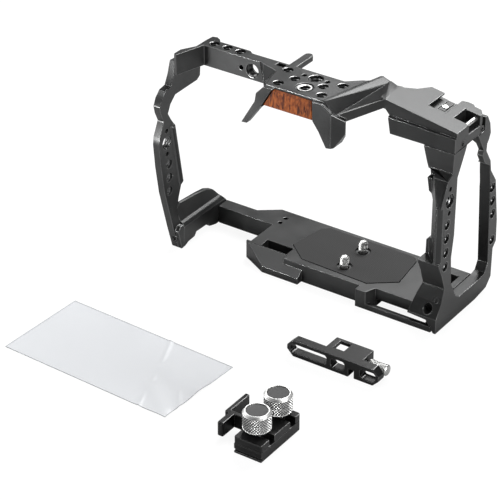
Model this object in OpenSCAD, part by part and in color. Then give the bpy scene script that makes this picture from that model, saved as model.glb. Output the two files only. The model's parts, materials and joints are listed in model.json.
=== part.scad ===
// Full cage for a cinema camera: a bottom plate, a grip-side arm, a top plate with cold shoe and a
// side frame, bolted round the body, with two cable clamps and a clear screen film beside it.
// The origin is on the floor under the bottom plate, +X to the cage's right as seen from the front,
// +Y to the back and +Z up.

/* [Cage] */
// Height of the top face above the floor
cage_h = 150; // [140:1:170]
// Front-to-back length that the side outlines follow
cage_d = 100; // [90:1:115]
// From the origin to the outer face of the right side frame
right_x = 100; // [95:1:115]
// From the origin to the outer face of the grip-side arm
left_x = 108.5; // [105:0.5:118]

/* [Bottom plate] */
// Thickness of the bottom plate
plate_h = 13.6; // [12:0.2:18]
// Front-to-back depth of the narrow bar under the grip
grip_bar_d = 10.5; // [8:0.5:13]
// Depth of the rubber pad's recess
pad_recess = 0.8; // [0.5:0.1:1.5]
// Thickness of the rubber pad
pad_t = 1.3; // [1:0.1:2.5]
// Height of the front rail below the see-through slot
rail_h = 4.2; // [3:0.1:5]
// Front-to-back thickness of the front rail
rail_t = 3.4; // [2.5:0.1:4]

/* [Arms] */
// Thickness of the grip-side arm
arm_t = 5.5; // [4.5:0.1:7]
// How far the grip-side arm's inner rail stands proud
arm_rail_t = 1.4; // [1:0.1:2.4]
// Width of the side frame's rear arm and sill
frame_w = 8; // [6.5:0.1:10]
// Width of the front arm, seen from the front
front_arm_w = 16; // [13:0.5:19]

/* [Top plate] */
// Height of the top plate's bar
bar_h = 15; // [13:0.5:18]
// How far the claws beside the lens hang below the top face
claw_h = 31.5; // [26:0.5:36]
// Thickness of the sloping platform
platform_t = 7; // [6.5:0.2:9]
// How much lower the platform's right end is than the top face
platform_drop = 9; // [7:0.5:11]
// Height of the skirt under the platform's front edge
skirt_h = 13.5; // [11:0.5:15]
// Width of the cold shoe's channel
shoe_w = 18.6; // [18.4:0.1:19]
// Width of the cold shoe's mouth between its lips
shoe_mouth_w = 12.6; // [12:0.1:13]
// Height of the cold shoe's channel under its lips
shoe_channel_h = 2.2; // [2:0.1:2.6]
// Thickness of the cold shoe's lips
shoe_lip_t = 1.5; // [1.2:0.1:2]
// Diameter of the strap bar
strap_bar_d = 3; // [2.5:0.1:4]

/* [Threads] */
// Diameter of the quarter-inch threaded holes
quarter_d = 6.35; // [6.3:0.05:6.4]
// Diameter of the three-eighths-inch threaded holes
three_eighths_d = 9.53; // [9.5:0.01:9.6]
// Diameter of the locating holes beside the larger threads
locating_d = 3.2; // [3:0.1:3.6]
// From a three-eighths thread to each of its locating holes
locating_pitch = 8.8; // [8.4:0.1:9.4]
// Pitch of the quarter-inch holes in a row
hole_pitch = 10.4; // [10:0.1:11]
// Outer diameter of the steel thread insert
insert_d = 10; // [9:0.2:11]

/* [Fasteners] */
// Diameter of the two camera screws
camera_screw_d = 6.35; // [6.3:0.05:6.4]
// How far the camera screws stand above the bottom plate
camera_screw_rise = 8; // [5:0.5:9]
// Distance between the two camera screws
camera_screw_pitch = 23.6; // [20:0.1:26]
// Diameter of the camera screws' heads
camera_head_d = 13; // [11:0.5:14]
// Height of the camera screws' heads
camera_head_h = 4; // [3:0.2:5]
// Shank diameter of the socket screws
socket_d = 3; // [2.5:0.5:3.5]
// Head diameter of the socket screws
socket_head_d = 5; // [4.5:0.1:5.6]
// Head height of the socket screws
socket_head_h = 2.4; // [2:0.1:3]
// Length of the socket screws' shanks
socket_l = 7; // [6:0.5:9]

/* [Cable clamp] */
// Length of the two-knob clamp's block
block_l = 43; // [40:0.5:50]
// Width of the two-knob clamp's block
block_w = 20; // [20:0.5:24]
// Height of the two-knob clamp's block
block_h = 12; // [11:0.5:13]
// Diameter of the knurled knobs
knob_d = 18; // [16:0.5:19]
// Height of the knurled knobs
knob_h = 13.5; // [12:0.5:16]
// Distance between the two knobs
knob_pitch = 22.8; // [21:0.2:25]
// Thickness of the plug holder's web and rear plate
holder_t = 3; // [2.5:0.1:4]
// Height of the plug holder's plates
holder_h = 10; // [8:0.5:11]

/* [Cable bracket] */
// Length of the long cable bracket
bracket_l = 69; // [64:1:80]
// Height of the long cable bracket
bracket_h = 12; // [11.5:0.5:15]
// Front-to-back depth of the long cable bracket
bracket_d = 7; // [6:0.5:9]
// Wall of the long cable bracket
bracket_t = 2.6; // [2.2:0.1:3.2]
// Diameter of the thumb screw's head
thumb_d = 7.5; // [7:0.5:9]
// Length of the thumb screw's head
thumb_l = 13; // [9:0.5:14]

/* [Screen film] */
// Length of the screen film
film_l = 132; // [120:1:140]
// Width of the screen film
film_w = 69; // [60:1:75]
// Thickness of the screen film with its backing sheet
film_t = 0.6; // [0.5:0.1:1]

/* [Hidden] */

// How far a cut runs past the face that it opens
cut = 1;
// Gap between two pieces that are bolted together, and round a piece that moves
gap = 0.3;
// Radial clearance of a shank in its bore
running = 0.05;

// Colours of the pieces
charcoal = [0.23, 0.24, 0.24];
black = [0.1, 0.1, 0.1];
steel = [0.8, 0.8, 0.8];
wood = [0.72, 0.3, 0.14];
clear = [0.86, 0.91, 0.95, 0.6];
cap_grey = [0.4, 0.4, 0.4];

// Heights of the seams between the arms and the top plate
bar_z = cage_h - bar_h;
skirt_z = cage_h - platform_drop - skirt_h - gap;
// Height that the side frame's outlines follow, so that its top stays at that seam
frame_seam_share = 0.848;
frame_h = skirt_z / frame_seam_share;
// Left face of the top plate, where the grip-side arm bolts on
arm_seat_x = left_x - arm_t - gap;
// Inner faces of the side frame
frame_x = right_x - frame_w;
front_arm_x = right_x - front_arm_w;

// Shares of the reach to the right (X), of the depth (Y) and of the height (Z) place what follows. In the
// top plate, heights are drops below the top face, as shares of the bar's, the claws' or the skirt's.
// Bottom plate, seen from above
plate_plan_shares = [
    [-0.997, 0.11], [-0.54, 0.11], [-0.54, -0.16], [-0.225, -0.16], [-0.225, -0.225], [0.38, -0.225],
    [0.38, -0.28], [0.46, -0.28], [0.49, -0.2], [0.917, -0.2], [0.917, 0.32], [-0.6, 0.32]
];
pad_plan_shares = [
    [-0.27, -0.04], [-0.225, 0.245], [-0.18, 0.285], [0.5, 0.285], [0.54, 0.245], [0.58, -0.05],
    [0.41, -0.185], [-0.12, -0.165]
];
// Front lip of the bottom plate, seen from above and from the side
lip_plan_shares = [
    [-0.57, -0.17], [-0.52, -0.195], [-0.37, -0.275], [-0.08, -0.275], [-0.08, -0.155], [-0.57, -0.155]
];
lip_side_shares = [[-0.155, 0], [-0.155, 1], [-0.175, 1], [-0.275, 0.35], [-0.275, 0]];
// Opposite corners of the plate's cuts, seen from above
lip_slot_shares = [[-0.45, -0.17], [-0.24, -0.08]];
rail_slot_shares = [[0.5, -0.245], [0.9, -0.06]];
side_window_shares = [[0.78, -0.02], [0.87, 0.24]];
// Roof of the slot under the plate's right half, as a share of the plate's thickness
rail_slot_share = 0.38;
// Places of the camera screws, the small tapped holes and the threads underneath
camera_screw_share = [0.17, 0.038];
tapped_shares = [[-0.51, 0.16], [-0.51, 0.23]];
tripod_quarter_shares = [[-0.35, 0.14], [-0.1, 0.14]];
tripod_three_eighths_share = [-0.22, 0.03];
blind_depth_share = 0.65;
bar_shoulder_share = -0.74;
pad_ring_d = 10.5;
foot_sink_share = 0.1;
rail_fillet = 0.5;

// Grip foot, seen from the front as shares of the reach to the left and of the height, and from the side
foot_front_shares = [
    [-0.9217, 0], [-0.9217, 0.103], [-0.935, 0.12], [-0.953, 0.127], [-0.977, 0.165], [-1, 0.205],
    [-1.018, 0.205], [-1.018, 0.05], [-0.995, 0.017], [-0.96, 0.017], [-0.955, 0]
];
foot_side_shares = [
    [-0.297, 0], [-0.25, 0.013], [-0.175, 0.017], [-0.153, 0.035], [-0.01, 0.033], [0.005, 0.013],
    [0.08, 0], [0.21, 0], [0.215, 0.09], [0.17, 0.125], [0.13, 0.16], [0.06, 0.18], [-0.02, 0.187],
    [-0.23, 0.198], [-0.297, 0.18]
];
foot_tongue_shares = [[-0.975, 0.12], [-0.91, 0.2]];
tongue_h = 5;

// Grip-side arm, seen from the side
left_arm_shares = [
    [-0.33, 0], [-0.385, 0.12], [-0.47, 0.327], [-0.505, 0.467], [-0.523, 0.587], [-0.513, 0.627],
    [-0.465, 0.693], [-0.497, 0.74], [-0.508, 0.775], [-0.483, 0.811], [-0.439, 0.839], [-0.38, 0.845],
    [-0.347, 0.886], [-0.315, 0.95], [-0.19, 0.945], [-0.06, 0.885], [-0.04, 0.85], [-0.045, 0.81],
    [-0.08, 0.795], [-0.33, 0.792], [-0.385, 0.76], [-0.415, 0.72], [-0.386, 0.687], [-0.354, 0.657],
    [-0.27, 0.338], [-0.312, 0.263], [-0.335, 0.2], [-0.31, 0.15], [-0.303, 0.12], [-0.303, 0]
];
left_rail_shares = [[-0.39, 0.647], [-0.354, 0.657], [-0.27, 0.338], [-0.3, 0.318], [-0.31, 0.34]];
left_rail_top_shares = [[-0.375, 0.64], [-0.354, 0.65], [-0.272, 0.34], [-0.285, 0.335]];
left_shoe_shares = [[-0.33, 0], [-0.365, 0.1], [-0.34, 0.12], [-0.303, 0.12], [-0.303, 0]];
left_three_eighths_share = [-0.435, 0.58];
left_quarter_share = [-0.415, 0.327];

// Side frame, seen from the side: its outside from the front arm's top down and round to the back
// arm's top, then its inside back again
frame_outside_shares = [
    [-0.15, 0.757], [-0.21, 0.737], [-0.28, 0.637], [-0.28, 0.347], [-0.23, 0.28], [-0.185, 0.2],
    [-0.22, 0.133], [-0.28, 0.073], [-0.28, 0], [0.24, 0], [0.39, 0.013], [0.45, 0.053], [0.455, 0.197],
    [0.495, 0.223], [0.49, 0.333], [0.44, 0.55], [0.365, 0.62], [0.35, 0.673], [0.285, 0.74],
    [0.29, 0.773], [0.312, 0.79], [0.33, 0.817], [0.315, 0.867], [0.275, 0.913], [0.248, 0.913]
];
frame_inside_shares = [
    [0.2, 0.803], [0.25, 0.75], [0.235, 0.727], [0.275, 0.68], [0.345, 0.65], [0.35, 0.607],
    [0.36, 0.553], [0.378, 0.333], [0.395, 0.14], [0.36, 0.1], [0.3, 0.091], [0.02, 0.091],
    [-0.03, 0.115], [-0.07, 0.167], [-0.1, 0.2], [-0.115, 0.333], [-0.092, 0.433], [-0.085, 0.72],
    [0, 0.82]
];
frame_top_shares = [-0.14, 0.248, 0.16, 0.02];
// Front arm, seen from the front
front_arm_shares = [
    [0.803, 0.78], [0.82, 0.75], [0.843, 0.653], [0.89, 0.63], [0.89, 0.447], [0.84, 0.413],
    [0.835, 0.2], [0.8, 0.133], [0.78, 0.063], [0.92, 0.057], [0.98, 0], [1, 0]
];
front_arm_top_share = 0.77;
front_arm_back_share = 0.03;
// Corners cut off the front arm, seen from above as shares of its width and of the depth
inner_chamfer_shares = [[-0.4, -0.3], [0.75, -0.3], [0.75, -0.28], [0.15, -0.175], [-0.4, -0.175]];
outer_chamfer_shares = [[0.78, -0.3], [1.1, -0.3], [1.1, -0.245], [1.02, -0.245], [0.78, -0.285]];
inner_chamfer_height_shares = [0.347, 0.74];
outer_chamfer_height_shares = [0.347, 0.62];
arm_pocket_shares = [[0.79, -0.24, 0.717], [0.885, -0.13, 0.755]];
// Where the back arm is cut narrower, seen from the front
back_arm_cut_shares = [[0.9, 0.66], [0.92, 0.66], [0.955, 0.69], [0.955, 0.79], [0.92, 0.815], [0.9, 0.815]];
thread_depth = 8.4;
front_quarter_share = [-0.19, 0.315];
front_three_eighths_share = [-0.17, 0.633];
back_quarter_shares = [[0.4, 0.523], [0.41, 0.453], [0.42, 0.385], [0.435, 0.245]];
foot_thread_share = [0.917, 0.103];
foot_locating_share = [0.96, 0.143];
foot_thread_back_share = -0.208;
sill_screw_shares = [[0.955, 0.046], [0.955, 0.28]];
sill_tongue_shares = [[0.915, -0.1], [0.972, 0.34]];
tab_shares = [[0.91, -0.075, -0.01], [0.91, 0.188, 0.235]];
tab_w = 5;
tab_h = 5.5;
sill_sink = 1;

// Top plate, seen from above: the bar, its bent end and the block over the lens
bar_plan_shares = [
    [-1, -0.36], [-0.935, -0.13], [-0.46, -0.13], [-0.28, -0.37], [0.165, -0.37], [0.26, 0],
    [0.27, 0.05], [0.21, 0.03], [0.12, -0.05], [-0.6, -0.05], [-0.63, -0.027], [-0.875, -0.027], [-0.895, 0],
    [-0.93, 0.02], [-0.965, 0.01], [-0.97, -0.06], [-0.97, -0.17]
];
bent_end_y_shares = [-0.27, -0.345];
// Lower stretch of the seat behind the bent end: its back, and its drop below the top face
seat_back_share = -0.185;
seat_drop = 7;
// Hollow between the bar and the block, seen from above at the top face and at its foot
notch_shares = [[-0.488, -0.14], [-0.488, -0.125], [-0.33, -0.176], [-0.285, -0.36], [-0.3, -0.38]];
notch_foot_shares = [[-0.47, -0.14], [-0.455, -0.125], [-0.275, -0.36], [-0.29, -0.375]];
notch_bottom_share = 0.93;
finger_shares = [[-0.31, -0.07], [-0.25, 0.135]];
finger_h = 4;
hollow_shares = [[-0.38, -0.105], [-0.32, -0.065]];
hollow_depth_share = 0.5;
// Claws on both sides of the lens, seen from the front and from above
left_claw_shares = [
    [-0.28, 0.033], [-0.21, 0.033], [-0.22, 0.381], [-0.305, 0.529], [-0.411, 0.995], [-0.456, 1.005],
    [-0.351, 0.433], [-0.341, 0.238]
];
right_claw_shares = [
    [0.09, 0.033], [0.165, 0.033], [0.25, 0.238], [0.305, 0.381], [0.3, 0.7], [0.25, 0.976], [0.2, 1],
    [0.14, 0.667], [0.095, 0.476]
];
right_claw_plan_shares = [
    [0.08, -0.395], [0.235, -0.395], [0.305, -0.33], [0.285, -0.29], [0.24, -0.27], [0.08, -0.27]
];
left_claw_y_shares = [-0.395, -0.345];
// Ridge beside the block: [x, y, drop of its foot, drop of its top] of the posts whose hulls make it
ridge_shares = [
    [0.16, -0.36, 1, -0.03], [0.29, 0.13, 0.6, -0.05], [0.37, 0.11, 0.45, 0.05], [0.24, -0.35, 1, 0.57]
];
flank_shares = [
    [0.24, -0.35, 1, 0.57], [0.37, 0.11, 0.45, 0], [0.43, 0.08, 0.45, 0], [0.46, -0.11, 0.4, 0],
    [0.4, -0.115, 0.45, 0.28]
];
ridge_post_r = 1;
// Platform on the right, seen from above
platform_plan_shares = [
    [0.46, -0.12], [1, -0.12], [1, 0.2], [0.965, 0.245], [0.92, 0.245], [0.9, 0.262], [0.86, 0.262],
    [0.81, 0.24], [0.6, 0.24],
    [0.545, 0.15], [0.48, 0.1], [0.42, 0.09], [0.42, -0.1]
];
// Where its level part begins, and where its slope begins
platform_level_share = 0.42;
platform_start_share = 0.46;

// Skirt and apron under the platform's front edge
skirt_front_shares = [[0.5, 0.467], [0.52, 1], [1, 1], [1, 0.553]];
skirt_side_shares = [[-0.1, 0.333], [-0.14, 0.5], [-0.14, 1.067], [-0.1, 1.067]];
apron_shares = [[0.46, 0.267], [0.5, 0.467], [0.52, 1]];
apron_y_shares = [-0.12, -0.09];
// Block at the platform's right end, with the strap bar's window and side slot
end_block_shares = [[0.86, -0.12], [1, -0.12], [1, 0.19], [0.965, 0.245], [0.86, 0.245]];
strap_window_shares = [[0.888, 0.03], [0.975, 0.173]];
strap_slot_shares = [0.93, 0.713];
strap_bar_share = [0.962, 0.527];
strap_bar_y_shares = [-0.04, 0.242];
// Cold shoe: its middle and its closed front end, and the spring in its floor
shoe_share = [0.765, 0.035];
shoe_back_share = 0.235;
spring_w = 5;
spring_front_share = 0.1;
spring_t = 0.6;
spring_travel = 0.6;
spring_groove = spring_t + spring_travel + gap + 2 * running;
button_d = 4.6;
button_h = 0.5;

// Threads in the top face, in the bar's front and in the block
top_quarter_shares = [
    [-0.273, -0.122], [-0.166, -0.201], [-0.223, -0.311], [0.046, -0.193], [0.145, -0.113], [0.102, -0.299]
];
bar_quarter_share = [-0.889, -0.075];
top_three_eighths_share = [-0.054, -0.124];
insert_share = [-0.047, -0.266];
insert_h = 6;
insert_rim = 1;
insert_sink = 0.4;
screw_slot_w = 1.5;
// Neck that keeps each camera screw captive in the plate
screw_neck_h = 1;
screw_neck_share = 0.8;
front_thread_share = [-0.548, 0.55];

// Wood insert on the block's front, seen from the front
wood_shares = [[-0.3, 1.05], [0.09, 1.05], [0.08, 0.13], [-0.22, 0.13]];
wood_t = 2.5;
wood_proud = 0.8;
block_front_share = -0.37;

// Screws through the grip-side arm, through its foot, and into the side frame's tabs
arm_screw_y_shares = [-0.285, -0.218];
arm_screw_drop_share = 0.78;
arm_foot_screw_shares = [[-0.965, 0.048], [-0.97, 0.092]];
arm_foot_front_share = -0.35;
end_screw_y_shares = [-0.042, 0.207];
end_screw_rise = 3;
foot_screw_share = [-0.945, 0.16];

// Cable clamp: its front left corner on the floor, and the sizes of its small pieces
clamp_place = [65.7, -209];
clamp_layer_h = 5;
knob_x_share = 0.45;
front_knob_y_share = 0.275;
stud_d = 5;
stud_sink = 4;
washer_d = 12;
washer_h = 1.4;
knob_travel = 0.8;
cap_share = 0.78;
cap_t = 1.2;
rim_share = 0.08;
knob_hollow_share = 0.35;
web_share = 0.42;
front_plate_t = 4;
holder_reach = 12;
front_plate_share = 0.12;
rear_plate_share = 0.953;
arm_z = 3;
stud_share = 0.45;
block_groove = 1.5;

// Long cable bracket: its front left corner on the floor, and its windows as shares of its length
bracket_place = [32.7, -101.5];
bracket_corner = 4.5;
bracket_window_shares = [[0.037, 0.435], [0.483, 0.63], [0.8, 0.963]];
bracket_slit_shares = [0.675, 0.732];
bracket_shelf_shares = [0.37, 0.777];
bracket_shelf_d = 12.5;
shelf_window_shares = [0.438, 0.55];
thumb_share = [0.45, 0.5];
thumb_stud_d = 4;
thumb_stud_l = 12;
pad_d = 6;
pad_h = 2;
thumb_travel = 1.4;

// Screen film: its middle on the floor, and its turn
film_place = [-54.4, -165.8];
film_turn = -2.5;

function scaled(shares, w, h) = [for (s = shares) [s.x * w, s.y * h]];

// An outline on the Y and Z axes, pushed along X
module slab_x(points, x0, x1) {
    translate([x0, 0, 0]) rotate([90, 0, 90]) linear_extrude(x1 - x0) polygon(points);
}

// An outline on the X and Z axes, pushed along Y
module slab_y(points, y0, y1) {
    translate([0, y1, 0]) rotate([90, 0, 0]) linear_extrude(y1 - y0) polygon(points);
}

// An outline on the X and Y axes, pushed along Z
module slab_z(points, z0, z1) {
    translate([0, 0, z0]) linear_extrude(z1 - z0) polygon(points);
}

module block(low, high) {
    translate(low) cube(high - low);
}

module rod_x(x0, x1, y, z, r) {
    translate([x0, y, z]) rotate([0, 90, 0]) cylinder(r = r, h = x1 - x0, $fn = 48);
}

module rod_y(x, y0, y1, z, r) {
    translate([x, y1, z]) rotate([90, 0, 0]) cylinder(r = r, h = y1 - y0, $fn = 48);
}

module rod_z(x, y, z0, z1, r) {
    translate([x, y, z0]) cylinder(r = r, h = z1 - z0, $fn = 48);
}

// Width of a socket screw's hexagon over its corners, as a share of its shank
socket_hex_share = 0.95;

// A socket screw with its head's top at the origin, pointing along -Z
module socket_screw() {
    hex_d = socket_d * socket_hex_share;
    color(black) difference() {
        union() {
            translate([0, 0, -socket_head_h]) cylinder(d = socket_head_d, h = socket_head_h, $fn = 32);
            translate([0, 0, -socket_head_h - socket_l]) cylinder(d = socket_d, h = socket_l, $fn = 32);
        }
        translate([0, 0, -socket_head_h / 2]) cylinder(d = hex_d, h = socket_head_h, $fn = 6);
    }
}

// The stepped hole that a socket screw sits in, from just over its head to its tip
module socket_hole() {
    head_z = -socket_head_h - gap;
    translate([0, 0, head_z]) cylinder(d = socket_head_d + gap, h = cut - head_z, $fn = 32);
    translate([0, 0, head_z - socket_l]) cylinder(d = socket_d + 2 * running, h = socket_l + cut, $fn = 32);
}

function plan(shares) = scaled(shares, right_x, cage_d);
function front(shares) = scaled(shares, right_x, cage_h);
function side(shares) = scaled(shares, cage_d, cage_h);
function frame_side(shares) = scaled(shares, cage_d, frame_h);
function frame_front(shares) = scaled(shares, right_x, frame_h);

// An outline of the top plate, whose heights are shares of a drop below the top face
function hung(shares, w, drop) = [for (s = shares) [s.x * w, cage_h - s.y * drop]];

// A locating pattern: a three-eighths thread between two small holes on a line along Z
module locating_bores_x(y, z, x0, x1) {
    rod_x(x0, x1, y, z, three_eighths_d / 2);
    for (s = [-1, 1]) rod_x(x0, x1, y, z + s * locating_pitch, locating_d / 2);
}

module camera_screw_holes() {
    x = camera_screw_share.x * right_x;
    for (s = [-0.5, 0.5]) {
        y = camera_screw_share.y * cage_d + s * camera_screw_pitch;
        rod_z(x, y, -cut, plate_h + cut, camera_screw_d / 2 + running);
        rod_z(x, y, -cut, camera_head_h + 2 * gap, camera_head_d / 2 + gap);
    }
}

module base_plate() {
    slot = plan(lip_slot_shares);
    rail_slot = plan(rail_slot_shares);
    window = plan(side_window_shares);
    tongue = scaled(foot_tongue_shares, left_x, cage_d);
    sill = plan(sill_tongue_shares);
    bar_back = plate_plan_shares[0].y * cage_d + grip_bar_d;
    bar_corners = [[bar_shoulder_share * right_x, bar_back], [plate_plan_shares[0].x * right_x, bar_back]];
    rail_y = plate_plan_shares[6].y * cage_d;
    rail_x = plate_plan_shares[6].x * right_x;
    rail_end = frame_x + frame_w / 2;
    rail_roof = rail_slot_share * plate_h;
    thread_top = blind_depth_share * plate_h;
    color(charcoal) difference() {
        union() {
            slab_z(concat(plan(plate_plan_shares), bar_corners), 0, plate_h);
            intersection() {
                slab_z(plan(lip_plan_shares), 0, plate_h);
                slab_x(scaled(lip_side_shares, cage_d, plate_h), -right_x, right_x);
            }
            block([rail_x, rail_y, 0], [rail_end, rail_y + rail_t, rail_h]);
            block([rail_slot[1].x, rail_y, 0], [rail_end, sill[0].y, rail_h]);
            block([tongue[0].x, tongue[0].y, 0], [tongue[1].x, tongue[1].y, tongue_h]);
            block([sill[0].x, sill[0].y, 0], [sill[1].x, sill[1].y, tongue_h]);
        }
        block([slot[0].x, slot[0].y, -cut], [slot[1].x, slot[1].y, plate_h + cut]);
        block([rail_slot[0].x, rail_slot[0].y, -cut], [rail_slot[1].x, rail_slot[1].y, rail_roof]);
        block([window[0].x, window[0].y, -cut], [window[1].x, window[1].y, plate_h + cut]);
        slab_z(plan(pad_plan_shares), plate_h - pad_recess, plate_h + cut);
        camera_screw_holes();
        for (p = plan(tapped_shares)) rod_z(p.x, p.y, plate_h - thread_top, plate_h + cut, locating_d / 2);
        for (p = plan(tripod_quarter_shares)) rod_z(p.x, p.y, -cut, thread_top, quarter_d / 2);
        rod_z(tripod_three_eighths_share.x * right_x, tripod_three_eighths_share.y * cage_d, -cut, thread_top,
            three_eighths_d / 2);
        for (p = plan(sill_screw_shares)) rod_z(p.x, p.y, -cut, tongue_h + cut, socket_d / 2 + running);
        foot_screw_place() socket_hole();
    }
}

module base_pad() {
    color(black) difference() {
        slab_z(plan(pad_plan_shares), plate_h - pad_recess, plate_h - pad_recess + pad_t);
        for (s = [-0.5, 0.5])
            rod_z(camera_screw_share.x * right_x, camera_screw_share.y * cage_d + s * camera_screw_pitch,
                0, plate_h + pad_t + cut, pad_ring_d / 2);
    }
}

// The screw from below that ties the grip foot to the bottom plate's tongue
module foot_screw_place() {
    translate([foot_screw_share.x * left_x, foot_screw_share.y * cage_d, socket_head_h * foot_sink_share])
        rotate([180, 0, 0]) children();
}

// The screws from the front that tie the arm's lower end to the grip foot
module arm_foot_screw_places() {
    for (p = scaled(arm_foot_screw_shares, left_x, cage_h))
        translate([p.x, arm_foot_front_share * cage_d, p.y]) rotate([90, 0, 0]) children();
}

module grip_foot() {
    tongue = scaled(foot_tongue_shares, left_x, cage_d);
    color(charcoal) difference() {
        intersection() {
            slab_y(scaled(foot_front_shares, left_x, cage_h), -cage_d, cage_d);
            slab_x(side(foot_side_shares), -2 * left_x, 0);
        }
        block([tongue[0].x - gap, tongue[0].y - gap, -cut], [0, tongue[1].y + gap, tongue_h + gap]);
        foot_screw_place() socket_hole();
        arm_foot_screw_places() socket_hole();
    }
}

module left_arm() {
    inner = -left_x + arm_t;
    quarter_y = left_quarter_share.x * cage_d;
    three_eighths = [left_three_eighths_share.x * cage_d, left_three_eighths_share.y * cage_h];
    color(charcoal) difference() {
        union() {
            slab_x(side(left_arm_shares), -left_x, inner);
            intersection() {
                slab_x(side(left_rail_shares), inner, inner + arm_rail_t);
                hull() {
                    slab_x(side(left_rail_shares), inner, inner + rail_fillet);
                    slab_x(side(left_rail_top_shares), inner, inner + arm_rail_t);
                }
            }
            slab_x(side(left_shoe_shares), -left_x, foot_front_shares[0].x * left_x);
        }
        locating_bores_x(three_eighths.x, three_eighths.y, -2 * left_x, 0);
        for (i = [0:2])
            rod_x(-2 * left_x, 0, quarter_y, left_quarter_share.y * cage_h + i * hole_pitch, quarter_d / 2);
        arm_screw_places() socket_hole();
        arm_foot_screw_places() socket_hole();
    }
}

// The screws from the left that tie the arm to the top plate's bent end
module arm_screw_places() {
    z = cage_h - arm_screw_drop_share * bar_h;
    for (s = arm_screw_y_shares) translate([-left_x + gap, s * cage_d, z]) rotate([0, -90, 0]) children();
}

// The screws through the end block into the side frame's tabs
module end_screw_places() {
    for (s = end_screw_y_shares)
        translate([right_x, s * cage_d, skirt_z + end_screw_rise]) rotate([0, 90, 0]) children();
}

module sill_screw_places() {
    for (p = plan(sill_screw_shares)) translate([p.x, p.y, plate_h - sill_sink]) children();
}

module side_frame() {
    top = [for (s = frame_top_shares) [s * cage_d, skirt_z]];
    outside = frame_side(frame_outside_shares);
    inside = frame_side(frame_inside_shares);
    outline = concat(outside, [top[1], top[2]], inside, [top[3], top[0]]);
    arm_top = [[right_x, skirt_z], [front_arm_top_share * right_x, skirt_z]];
    front_outline = concat(frame_front(front_arm_shares), arm_top);
    inner_z = inner_chamfer_height_shares * frame_h;
    outer_z = outer_chamfer_height_shares * frame_h;
    pocket = [for (s = arm_pocket_shares) [s.x * right_x, s.y * cage_d, s.z * frame_h]];
    quarter = [front_quarter_share.x * cage_d, front_quarter_share.y * frame_h];
    three_eighths = [front_three_eighths_share.x * cage_d, front_three_eighths_share.y * frame_h];
    sill = plan(sill_tongue_shares);
    thread_x = right_x - thread_depth;
    corner = [front_arm_x, 0, 0];
    color(charcoal) difference() {
        union() {
            intersection() {
                slab_x(outline, 0, right_x);
                union() {
                    slab_y(front_outline, -cage_d, front_arm_back_share * cage_d);
                    block([frame_x, 0, 0], [right_x, cage_d, cage_h]);
                }
            }
            for (t = tab_shares)
                block([t.x * right_x, t.y * cage_d, skirt_z - cut],
                    [t.x * right_x + tab_w, t.z * cage_d, skirt_z + tab_h]);
        }
        block([0, plate_plan_shares[9].y * cage_d - gap, -cut], [frame_x, cage_d, plate_h + gap]);
        block([0, sill[0].y - gap, -cut], [sill[1].x + gap, sill[1].y + gap, tongue_h + gap]);
        block([0, -cage_d, -cut], [frame_x + frame_w / 2 + gap, sill[0].y + cut, rail_h + gap]);
        translate(corner) slab_z(scaled(inner_chamfer_shares, front_arm_w, cage_d), inner_z[0], inner_z[1]);
        translate(corner) slab_z(scaled(outer_chamfer_shares, front_arm_w, cage_d), outer_z[0], outer_z[1]);
        block(pocket[0], pocket[1]);
        slab_y(frame_front(back_arm_cut_shares), front_arm_back_share * cage_d + cut, cage_d);
        for (i = [0:3])
            rod_x(thread_x, right_x + cut, quarter.x, quarter.y + i * hole_pitch, quarter_d / 2);
        locating_bores_x(three_eighths.x, three_eighths.y, thread_x, right_x + cut);
        for (p = frame_side(back_quarter_shares)) rod_x(0, right_x + cut, p.x, p.y, quarter_d / 2);
        for (h = [[foot_thread_share, quarter_d], [foot_locating_share, locating_d]])
            rod_y(h[0].x * right_x, -cage_d, foot_thread_back_share * cage_d, h[0].y * frame_h, h[1] / 2);
        sill_screw_places() socket_hole();
        end_screw_places() socket_hole();
    }
}

// What lies on the platform's slope: X runs down it from its left end, Z is square to it
module on_platform() {
    start = platform_start_share * right_x;
    translate([start, 0, cage_h]) rotate([0, atan(platform_drop / (right_x - start)), 0]) children();
}

function shoe_x() = (shoe_share.x - platform_start_share) * right_x;
shoe_floor = shoe_lip_t + shoe_channel_h;

module ridge(posts) {
    hull() for (p = posts)
        rod_z(p[0] * right_x, p[1] * cage_d, cage_h - p[2] * bar_h, cage_h - p[3] * bar_h, ridge_post_r);
}

module platform() {
    start = platform_start_share * right_x;
    low = cage_h - platform_drop;
    drop = platform_drop + skirt_h;
    foot = cage_h - drop;
    apron = concat([[start, cage_h]], hung(apron_shares, right_x, drop), [[right_x, foot], [right_x, low]]);
    under = [[start, cage_h], [right_x, low], [right_x, foot], [start, foot]];
    level = platform_level_share * right_x;
    sheet = [
        [level, cage_h], [start, cage_h], [right_x, low], [right_x, low - platform_t],
        [start, cage_h - platform_t], [level, cage_h - platform_t]
    ];
    intersection() {
        slab_z(plan(platform_plan_shares), 0, 2 * cage_h);
        slab_y(sheet, -cage_d, cage_d);
    }
    slab_y(apron, apron_y_shares[0] * cage_d, apron_y_shares[1] * cage_d);
    intersection() {
        slab_y(hung(skirt_front_shares, right_x, drop), -cage_d, 0);
        slab_x(hung(skirt_side_shares, cage_d, drop), 0, right_x);
    }
    intersection() {
        slab_z(plan(end_block_shares), 0, cage_h);
        slab_y(under, -cage_d, cage_d);
    }
}

module shoe_cut() {
    y0 = shoe_share.y * cage_d;
    on_platform() {
        block([shoe_x() - shoe_w / 2, y0, -shoe_floor], [shoe_x() + shoe_w / 2, cage_d, -shoe_lip_t]);
        block([shoe_x() - shoe_mouth_w / 2, y0, -shoe_floor], [shoe_x() + shoe_mouth_w / 2, cage_d, cut]);
        block([shoe_x() - spring_w / 2, spring_front_share * cage_d, -shoe_floor - spring_groove],
            [shoe_x() + spring_w / 2, cage_d, cut]);
    }
}

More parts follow.
